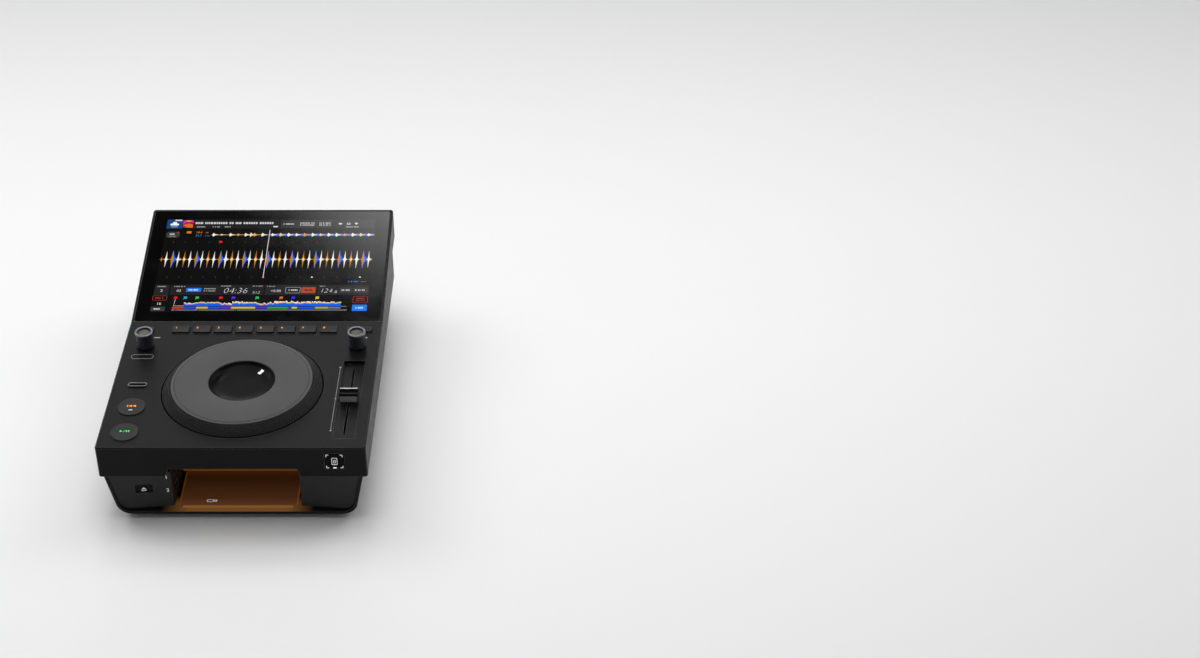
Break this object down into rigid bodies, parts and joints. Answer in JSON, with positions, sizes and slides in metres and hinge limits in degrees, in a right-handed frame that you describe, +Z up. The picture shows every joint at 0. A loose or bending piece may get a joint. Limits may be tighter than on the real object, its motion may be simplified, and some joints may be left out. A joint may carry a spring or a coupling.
{
  "type": "tabletop dj media player",
  "caption": "Tabletop media player with a tilted screen over a flat control panel, a large jog wheel, tempo fader, push buttons, two knobs and a lit front bay.",
  "frame": {"origin": "on the table under the middle of the player's overall box", "axes": "+X to the user's right, +Y from the user toward the screen, +Z up"},
  "size_m": [0.251, 0.364, 0.113],
  "materials": {
    "case_dark": "satin",
    "base_dark": "satin",
    "block_dark": "satin",
    "bay_amber": "satin",
    "plate_amber": "lit acrylic",
    "light_amber": "lit light guide",
    "cover_glass": "gloss",
    "lcd": "gloss",
    "plated_steel": "plated",
    "reader_black": "gloss",
    "jog_skirt": "fine knurl",
    "jog_plate": "satin grey",
    "jog_dish": "soft gloss",
    "bearing_steel": "ground",
    "button_dark": "satin",
    "knob_black": "matte",
    "knob_ring": "satin",
    "fader_cap": "satin",
    "board_green": "solder mask",
    "rubber_black": "matte",
    "socket_metal": "nickel",
    "jack_black": "matte"
  },
  "bodies": {
    "case": {"upper_case": "case_dark", "lower_case": "base_dark", "front_block_left": "block_dark", "front_block_right": "block_dark", "bay_liner": "bay_amber", "bay_floor_plate": "plate_amber", "bay_light_bars": "light_amber", "display_housing": "case_dark", "screen_glass": "cover_glass", "display_panel": "lcd", "display_tray": "plated_steel", "reader_window": "reader_black", "rear_panel": "plated_steel", "main_board": "board_green", "power_supply": "board_green", "switch_board": "board_green", "jog_mount": "plated_steel", "jog_spindle": "bearing_steel", "jog_sensor": "jack_black", "usb_port_1": "socket_metal", "usb_port_2": "socket_metal", "feet": "rubber_black", "case_screws": "plated_steel", "knob_encoders": "plated_steel", "tempo_fader_frame": "plated_steel", "power_inlet": "jack_black", "audio_jacks": "jack_black", "network_jack": "socket_metal", "link_jack": "socket_metal"},
    "jog": {"jog_wheel": "jog_skirt", "jog_top_plate": "jog_plate", "jog_dish": "jog_dish", "jog_bearing": "bearing_steel", "jog_encoder_disc": "jack_black"},
    "tempo_slider": {"tempo_carriage": "plated_steel", "tempo_cap": "fader_cap"},
    "loop_rotor_body": {"loop_rotor": "jack_black"},
    "loop_knob_body": {"loop_knob": "knob_black", "loop_knob_ring": "knob_ring", "loop_shaft": "bearing_steel"},
    "browse_rotor_body": {"browse_rotor": "jack_black"},
    "browse_knob_body": {"browse_knob": "knob_black", "browse_knob_ring": "knob_ring", "browse_shaft": "bearing_steel"},
    "hot_cue_button_1_body": {"hot_cue_button_1": "button_dark"},
    "hot_cue_button_2_body": {"hot_cue_button_2": "button_dark"},
    "hot_cue_button_3_body": {"hot_cue_button_3": "button_dark"},
    "hot_cue_button_4_body": {"hot_cue_button_4": "button_dark"},
    "hot_cue_button_5_body": {"hot_cue_button_5": "button_dark"},
    "hot_cue_button_6_body": {"hot_cue_button_6": "button_dark"},
    "hot_cue_button_7_body": {"hot_cue_button_7": "button_dark"},
    "hot_cue_button_8_body": {"hot_cue_button_8": "button_dark"},
    "cue_button_body": {"cue_button": "button_dark"},
    "play_button_body": {"play_button": "button_dark"},
    "shift_button_body": {"shift_button": "button_dark"},
    "clear_button_body": {"clear_button": "button_dark"},
    "back_button_body": {"back_button": "button_dark"},
    "tag_button_body": {"tag_button": "button_dark"},
    "eject_button_body": {"eject_button": "button_dark"},
    "power_button_body": {"power_button": "button_dark"}
  },
  "joints": [
    {"name": "jog_spin", "type": "hinge", "parent": "case", "child": "jog", "pos_m": [0, -0.0895, 0.084], "axis": [0, 0, 1], "continuous": true},
    {"name": "tempo_slide", "type": "slide", "parent": "case", "child": "tempo_slider", "axis": [0, 1, 0], "range_m": [-0.048, 0.048]},
    {"name": "loop_spin", "type": "hinge", "parent": "case", "child": "loop_rotor_body", "pos_m": [-0.104, -0.021, 0.084], "axis": [0, 0, 1], "continuous": true},
    {"name": "loop_push", "type": "slide", "parent": "loop_rotor_body", "child": "loop_knob_body", "axis": [0, 0, 1], "range_m": [-0.0005, 0], "stiffness_N_per_m": 1500, "springref_m": 0.0015},
    {"name": "browse_spin", "type": "hinge", "parent": "case", "child": "browse_rotor_body", "pos_m": [0.104, -0.021, 0.084], "axis": [0, 0, 1], "continuous": true},
    {"name": "browse_push", "type": "slide", "parent": "browse_rotor_body", "child": "browse_knob_body", "axis": [0, 0, 1], "range_m": [-0.0005, 0], "stiffness_N_per_m": 1500, "springref_m": 0.0015},
    {"name": "hot_cue_button_1_press", "type": "slide", "parent": "case", "child": "hot_cue_button_1_body", "axis": [0, 0, 1], "range_m": [-0.001, 0], "stiffness_N_per_m": 400, "springref_m": 0.002},
    {"name": "hot_cue_button_2_press", "type": "slide", "parent": "case", "child": "hot_cue_button_2_body", "axis": [0, 0, 1], "range_m": [-0.001, 0], "stiffness_N_per_m": 400, "springref_m": 0.002},
    {"name": "hot_cue_button_3_press", "type": "slide", "parent": "case", "child": "hot_cue_button_3_body", "axis": [0, 0, 1], "range_m": [-0.001, 0], "stiffness_N_per_m": 400, "springref_m": 0.002},
    {"name": "hot_cue_button_4_press", "type": "slide", "parent": "case", "child": "hot_cue_button_4_body", "axis": [0, 0, 1], "range_m": [-0.001, 0], "stiffness_N_per_m": 400, "springref_m": 0.002},
    {"name": "hot_cue_button_5_press", "type": "slide", "parent": "case", "child": "hot_cue_button_5_body", "axis": [0, 0, 1], "range_m": [-0.001, 0], "stiffness_N_per_m": 400, "springref_m": 0.002},
    {"name": "hot_cue_button_6_press", "type": "slide", "parent": "case", "child": "hot_cue_button_6_body", "axis": [0, 0, 1], "range_m": [-0.001, 0], "stiffness_N_per_m": 400, "springref_m": 0.002},
    {"name": "hot_cue_button_7_press", "type": "slide", "parent": "case", "child": "hot_cue_button_7_body", "axis": [0, 0, 1], "range_m": [-0.001, 0], "stiffness_N_per_m": 400, "springref_m": 0.002},
    {"name": "hot_cue_button_8_press", "type": "slide", "parent": "case", "child": "hot_cue_button_8_body", "axis": [0, 0, 1], "range_m": [-0.001, 0], "stiffness_N_per_m": 400, "springref_m": 0.002},
    {"name": "cue_button_press", "type": "slide", "parent": "case", "child": "cue_button_body", "axis": [0, 0, 1], "range_m": [-0.001, 0], "stiffness_N_per_m": 400, "springref_m": 0.002},
    {"name": "play_button_press", "type": "slide", "parent": "case", "child": "play_button_body", "axis": [0, 0, 1], "range_m": [-0.001, 0], "stiffness_N_per_m": 400, "springref_m": 0.002},
    {"name": "shift_button_press", "type": "slide", "parent": "case", "child": "shift_button_body", "axis": [0, 0, 1], "range_m": [-0.001, 0], "stiffness_N_per_m": 400, "springref_m": 0.002},
    {"name": "clear_button_press", "type": "slide", "parent": "case", "child": "clear_button_body", "axis": [0, 0, 1], "range_m": [-0.001, 0], "stiffness_N_per_m": 400, "springref_m": 0.002},
    {"name": "back_button_press", "type": "slide", "parent": "case", "child": "back_button_body", "axis": [0, 0, 1], "range_m": [-0.001, 0], "stiffness_N_per_m": 400, "springref_m": 0.002},
    {"name": "tag_button_press", "type": "slide", "parent": "case", "child": "tag_button_body", "axis": [0, 0, 1], "range_m": [-0.001, 0], "stiffness_N_per_m": 400, "springref_m": 0.002},
    {"name": "eject_button_press", "type": "slide", "parent": "case", "child": "eject_button_body", "axis": [0.1097, -0.994, 0], "range_m": [-0.0008, 0], "stiffness_N_per_m": 400, "springref_m": 0.002},
    {"name": "power_button_press", "type": "slide", "parent": "case", "child": "power_button_body", "axis": [0, 1, 0], "range_m": [-0.002, 0], "stiffness_N_per_m": 600, "springref_m": 0.002}
  ]
}
